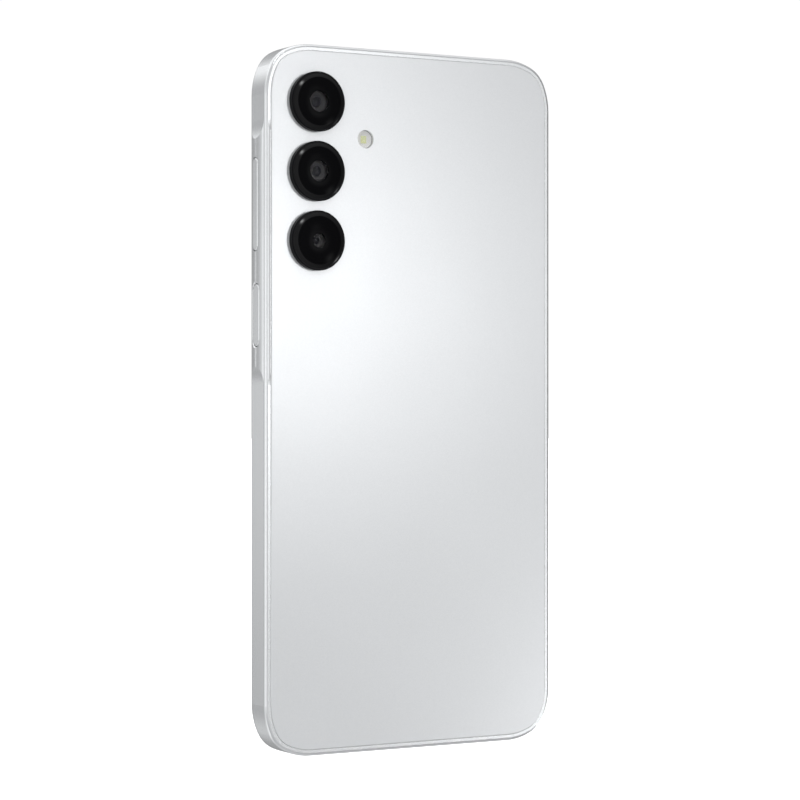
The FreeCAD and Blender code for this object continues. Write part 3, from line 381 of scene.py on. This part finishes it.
def display_finish():
    """Dark glass over a switched-off display: blue-black picture area, black border, camera eye."""
    material, tree, shader = start_material("display_glass")
    low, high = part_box("front_glass")
    place = tree.add("SeparateXYZ", {"Vector": tree.add("TexCoord").outputs["Object"]}).outputs
    half_x = high.x - BORDER_SIDE
    half_z = (high.z - low.z - BORDER_TOP - BORDER_CHIN) / 2
    middle_z = low.z + BORDER_CHIN + half_z
    past_x = tree.math("SUBTRACT", tree.math("ABSOLUTE", place["X"]), half_x - PICTURE_CORNER)
    rise = tree.math("ABSOLUTE", tree.math("SUBTRACT", place["Z"], middle_z))
    past_z = tree.math("SUBTRACT", rise, half_z - PICTURE_CORNER)
    past_x = tree.math("MAXIMUM", past_x, 0.0)
    past_z = tree.math("MAXIMUM", past_z, 0.0)
    past = tree.math("SQRT", tree.math("ADD", tree.math("MULTIPLY", past_x, past_x),
                                       tree.math("MULTIPLY", past_z, past_z)))
    picture = tree.spread(past, 1.0, 0.0, PICTURE_CORNER - 0.05 * MM, PICTURE_CORNER + 0.05 * MM)
    low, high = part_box("front_camera")
    away = across(tree, 0.0, (low.z + high.z) / 2)

    def disc(edge):
        return tree.spread(away, 1.0, 0.0, edge[0] * MM, edge[1] * MM)

    hole = disc(EYE_HOLE)
    eye = tree.math("SUBTRACT", disc(EYE_LENS[0]), disc(EYE_LENS[1]))
    rim = tree.math("SUBTRACT", disc(EYE_RIM[0]), disc(EYE_RIM[1]))
    shade = tones(tree, picture, (0.0025, 0.0025, 0.003), (0.009, 0.0095, 0.013))
    for share, colour in ((hole, (0.002, 0.002, 0.0025)), (rim, (0.02, 0.02, 0.022)),
                          (eye, (0.004, 0.007, 0.022))):
        layer = tree.add("Mix", {"Factor": share}, data_type="RGBA")
        tree.tree.links.new(shade, layer.inputs[6])
        layer.inputs[7].default_value = (*colour, 1.0)
        shade = layer.outputs[2]
    drift = noise(tree, 120)
    fill(tree, shader, Base_Color=shade, Roughness=tree.spread(drift, 0.02, 0.05, 0.3, 0.7))
    return material


FINISHES = {
    "frame": frame_finish(),
    "sensor": frame_finish("sensor", (0.78, 0.79, 0.80)),
    "cover": cover_finish(),
    "ring": ring_finish(),
    "lens_glass": polish("lens_glass", (0.003, 0.003, 0.0035), 0.02),
    "lens_edge": polish("lens_edge", (0.002, 0.002, 0.0025), 0.25),
    "lens_window": clear_glass("lens_window", 0.06, (0.01, 0.01, 0.012)),
    "lens_coating": polish("lens_coating", (0.003, 0.003, 0.008), 0.3, 0.02),
    "lens_baffle": plain_finish("lens_baffle", (0.040, 0.040, 0.042), 0.0, 0.6, 6000, 0.001),
    "flash_glass": clear_glass("flash_glass", 0.12, (0.95, 0.95, 0.94)),
    "flash_cup": plain_finish("flash_cup", (0.95, 0.94, 0.94), 0.0, 0.35, 5000, 0.001, 0.02),
    "led": plain_finish("led", (0.82, 0.86, 0.40), 0.0, 0.5, 9000, 0.002),
    "gold": plain_finish("gold", (0.83, 0.60, 0.28), 1.0, 0.25, 5000, 0.0005),
    "display_glass": display_finish(),
    "display": polish("display", (0.003, 0.003, 0.004), 0.5),
    "adhesive": plain_finish("adhesive", (0.05, 0.05, 0.05), 0.0, 0.9, 3000, 0.01),
    "mesh": plain_finish("mesh", (0.05, 0.05, 0.055), 0.8, 0.4),
    "black_plastic": plain_finish("black_plastic", (0.03, 0.03, 0.032), 0.0, 0.45),
    "alloy": plain_finish("alloy", (0.55, 0.56, 0.57), 0.9, 0.5, 2500, 0.008),
    "board": plain_finish("board", (0.03, 0.09, 0.06), 0.0, 0.4),
    "steel": plain_finish("steel", (0.62, 0.62, 0.62), 1.0, 0.3, 3000, 0.002),
    "weight": plain_finish("weight", (0.35, 0.35, 0.36), 1.0, 0.4),
    "chip": plain_finish("chip", (0.04, 0.04, 0.045), 0.0, 0.5),
    "flex": plain_finish("flex", (0.32, 0.16, 0.05), 0.0, 0.35),
    "cable": plain_finish("cable", (0.04, 0.04, 0.04), 0.0, 0.5),
    "battery_foil": plain_finish("battery_foil", (0.16, 0.16, 0.17), 0.6, 0.35, 1200, 0.02),
    "rubber": plain_finish("rubber", (0.06, 0.06, 0.06), 0.0, 0.7),
    "cone": plain_finish("cone", (0.10, 0.10, 0.11), 0.0, 0.5),
}


def dress_nodes():
    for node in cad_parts.values():
        slots = node.data.materials
        for place, old in enumerate(slots):
            slots[place] = FINISHES[old.name.split(".")[0]]


# ---------------------------------------------------------------- detail pieces
def settle(name, shape, finishes, body, sharp=32):
    """A finished piece from a bmesh: smooth except at corners, riding on its body."""
    bmesh.ops.recalc_face_normals(shape, faces=shape.faces)
    mesh = bpy.data.meshes.new(name)
    shape.to_mesh(mesh)
    shape.free()
    mesh.shade_smooth()
    mesh.set_sharp_from_angle(angle=math.radians(sharp))
    for finish in finishes:
        mesh.materials.append(FINISHES[finish])
    piece = link(bpy.data.objects.new(name, mesh))
    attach(piece, body)
    return piece


def lathe(name, outline, centre, finishes, body, skins=None, turns=96, turn=0.0):
    """A piece turned about an axis along Y. outline: (radius, Y) in mm, closed unless it starts
    and ends on the axis. skins: each run's finish, by number."""
    shape = bmesh.new()
    rings = []
    for radius, level in outline:
        count = turns if radius else 1
        rings.append([shape.verts.new((centre.x + radius * MM * math.cos(a), level * MM,
                                       centre.z + radius * MM * math.sin(a)))
                      for a in (math.radians(turn) + 2 * math.pi * k / turns
                                for k in range(count))])
    runs = len(rings) - (1 if outline[0][0] == 0 else 0)
    for number in range(runs):
        here, there = rings[number], rings[(number + 1) % len(rings)]
        for k in range(turns):
            after = (k + 1) % turns
            corners = [here[k % len(here)], here[after % len(here)],
                       there[after % len(there)], there[k % len(there)]]
            face = shape.faces.new(list(dict.fromkeys(corners)))
            face.material_index = skins[number] if skins else 0
    return settle(name, shape, finishes, body)


def arc_run(start, end, swell, steps):
    """Points from start to end, bowed outwards by swell, without the first."""
    (r0, y0), (r1, y1) = start, end
    length = math.hypot(r1 - r0, y1 - y0)
    out_r, out_y = (y0 - y1) / length, (r1 - r0) / length
    points = []
    for step in range(1, steps + 1):
        t = step / steps
        bow = 4 * t * (1 - t) * swell
        points.append((r0 + (r1 - r0) * t + out_r * bow, y0 + (y1 - y0) * t + out_y * bow))
    return points


def middle_of(node):
    low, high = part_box(node)
    return (low + high) / 2


def make_lens_glass(name, window):
    """The bevelled glass of one camera, printed black behind, with its clear window."""
    node = f"camera_glass_{name}"
    low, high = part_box(node)
    centre = middle_of(node)
    outer, seat, top = (high.x - low.x) / 2 / MM, low.y / MM, high.y / MM
    edge = (outer, top - GLASS_BEVEL_DROP)
    flat = (outer - GLASS_BEVEL_WIDTH, top)
    bevel = arc_run(edge, flat, -GLASS_BEVEL_BOW, 8)
    outline = [(window, seat), (outer, seat), edge, *bevel, (window, top)]
    skins = [1, 1] + [1] * len(bevel) + [0, 0]
    glass = lathe(f"lens_cover_{name}", outline, centre, ("lens_glass", "lens_edge"),
                  "chassis", skins, 128)
    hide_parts(node)
    inner = window - 0.004
    lathe(f"lens_window_{name}", [(0, seat), (inner, seat), (inner, top), (0, top)], centre,
          ("lens_window",), "chassis")


def make_lens_stack(name, body, window, sides):
    """Baffle, stop and domed front element under one window."""
    centre = middle_of(f"camera_glass_{name}")
    rim = window - 0.06
    eye = rim * ELEMENT_SHARE
    lathe(f"lens_baffle_{name}",
          [(rim, STACK_FLOOR), (rim, STACK_RIM), (rim - 0.25, STACK_RIM), (rim * 0.78, 4.27),
           (rim * 0.74, 4.2), (eye + 0.05, STACK_STOP), (eye + 0.05, STACK_FLOOR)],
          centre, ("lens_baffle",), body, turns=sides, turn=180 / sides)
    dome = [(0, STACK_FLOOR), (eye, STACK_FLOOR), (eye, ELEMENT_EDGE)]
    dome += arc_run((eye, ELEMENT_EDGE), (0, ELEMENT_TOP), -0.07, 10)
    dome[-1] = (0, ELEMENT_TOP)  # exactly on the axis
    lathe(f"lens_element_{name}", dome, centre, ("lens_coating",), body)


def make_flash():
    """White reflector cup and yellow die under the flash window."""
    centre = middle_of("flash_window")
    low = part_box("flash_led")[0].y / MM
    cup = lathe("flash_cup", [(0, low), (CUP_OUTLINE[0][0], low), *CUP_OUTLINE],
                centre, ("flash_cup",), "chassis")
    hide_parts("flash_led")
    die = bmesh.new()
    bmesh.ops.create_cube(die, size=1.0)
    bmesh.ops.scale(die, vec=Vector(DIE_SIZE) * MM, verts=die.verts)
    bmesh.ops.translate(die, vec=(centre.x, DIE_LEVEL * MM, centre.z), verts=die.verts)
    bmesh.ops.bevel(die, geom=die.edges, offset=0.05 * MM, segments=3, affect="EDGES")
    settle("flash_die", die, ("led",), "chassis")


def make_usb_contacts():
    """Gold pads on both faces of the port's tongue."""
    low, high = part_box("usb_tongue")
    pads = bmesh.new()
    for side, level in ((1, high.y), (-1, low.y)):
        for k in range(CONTACT_COUNT):
            made = bmesh.ops.create_cube(pads, size=1.0)["verts"]
            bmesh.ops.scale(pads, vec=Vector(CONTACT_SIZE) * MM, verts=made)
            place = Vector(((k - (CONTACT_COUNT - 1) / 2) * CONTACT_PITCH * MM,
                            level + side * 0.01 * MM, low.z + CONTACT_START * MM))
            bmesh.ops.translate(pads, vec=place, verts=made)
    bmesh.ops.bevel(pads, geom=pads.edges, offset=0.008 * MM, segments=1, affect="EDGES")
    settle("usb_contacts", pads, ("gold",), "chassis")


CAMERAS = (
    # ring, body its lens rides on, window radius, sides of its baffle
    ("upper", "focus_barrel", 2.45, 96),
    ("middle", "chassis", 2.45, 8),
    ("lower", "chassis", 1.70, 96),
)

view = bpy.context.scene.view_settings
view.view_transform = "Standard"
make_camera()
make_world()
make_softboxes()
make_room()
dress_nodes()
for ring, carrier, window_radius, baffle_sides in CAMERAS:
    make_lens_glass(ring, window_radius)
    make_lens_stack(ring, carrier, window_radius, baffle_sides)
make_flash()
make_usb_contacts()
